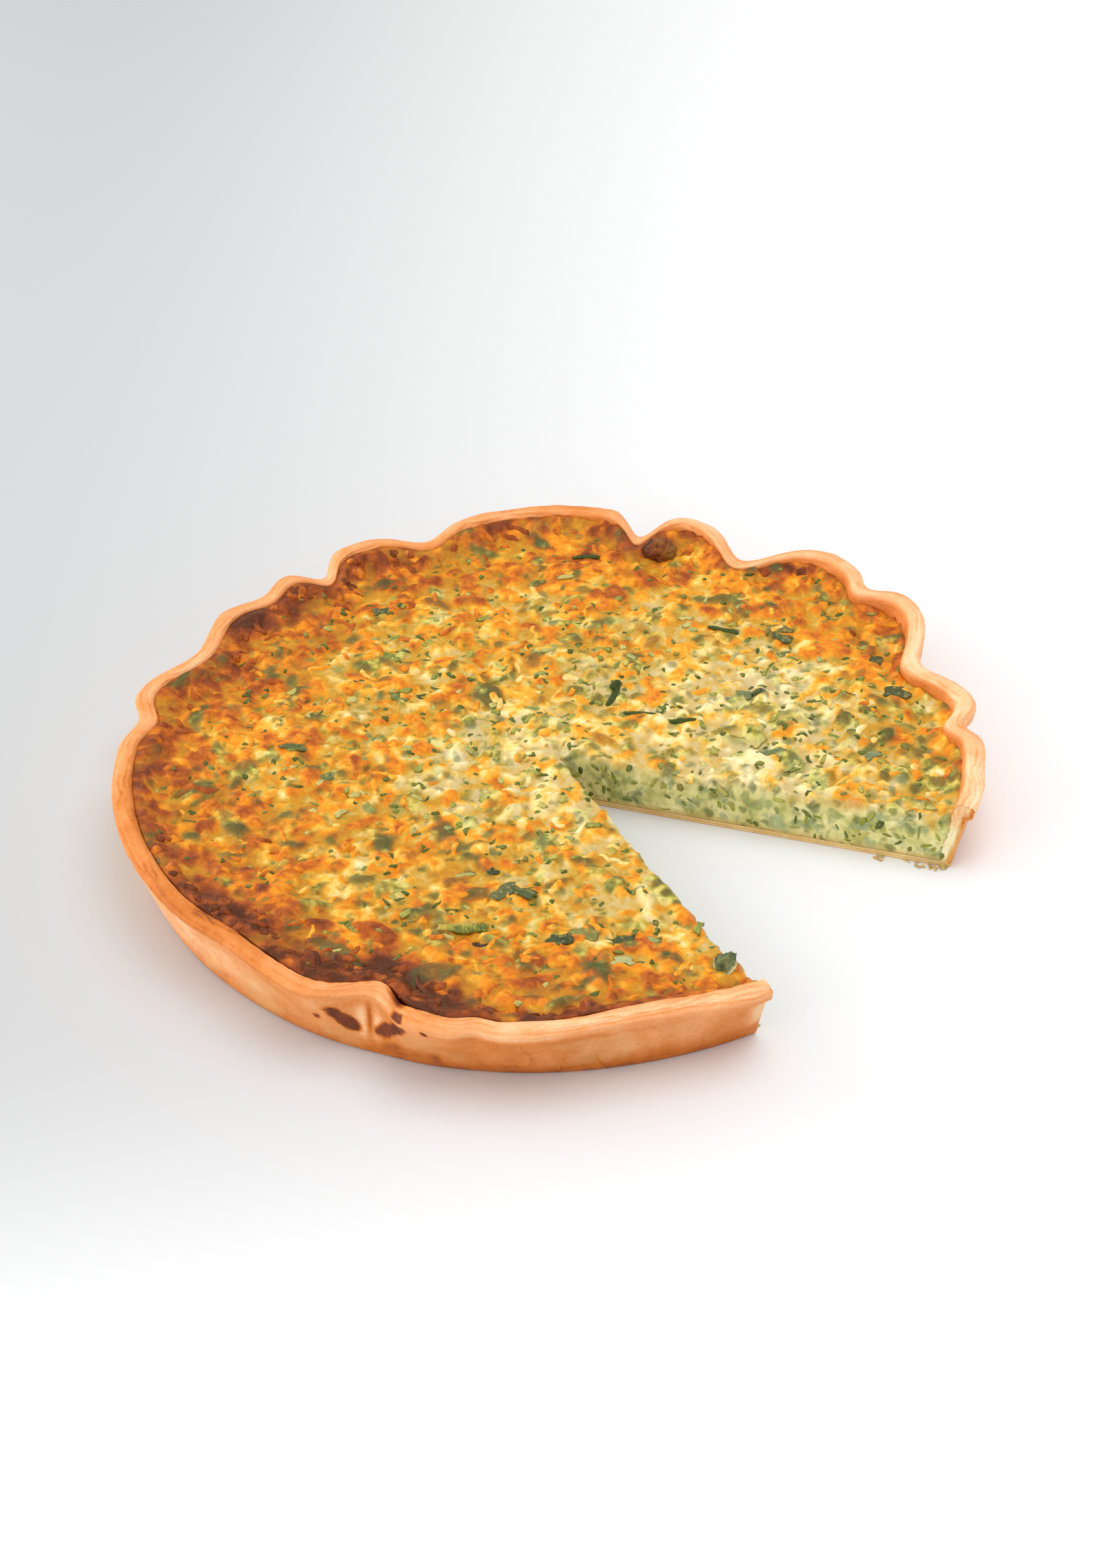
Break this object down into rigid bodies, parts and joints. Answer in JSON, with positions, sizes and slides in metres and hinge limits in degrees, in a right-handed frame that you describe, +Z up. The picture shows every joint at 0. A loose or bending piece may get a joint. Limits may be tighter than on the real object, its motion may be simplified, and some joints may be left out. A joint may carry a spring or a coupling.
{
  "type": "quiche",
  "caption": "Round shallow savoury tart in a hand-folded pastry case with a wavy rim, filled with herb and leek custard, one slice cut out.",
  "frame": {"origin": "middle of the pastry case, on the face that it rests on", "axes": "+Z up; +X out through the middle of the missing slice; +Y to the left of +X, seen from above"},
  "size_m": [0.2708, 0.2835, 0.0252],
  "materials": {
    "pastry": "baked pastry, matt, golden tan, paler at the top of the wall and peach on the rim",
    "custard": "baked custard and cheese, satin, cream yellow with orange browning and green herbs",
    "browned_leek": "roasted dark brown leek, slightly glossy",
    "green_leek": "ribbed green leek, satin",
    "dark_leek": "dark grey-green leek leaf, satin, pale at its edge"
  },
  "bodies": {
    "root": {"crust": "pastry", "filling": "custard", "browned_knot": "browned_leek", "leek_strip": "green_leek", "leek_curl": "dark_leek"}
  },
  "joints": []
}
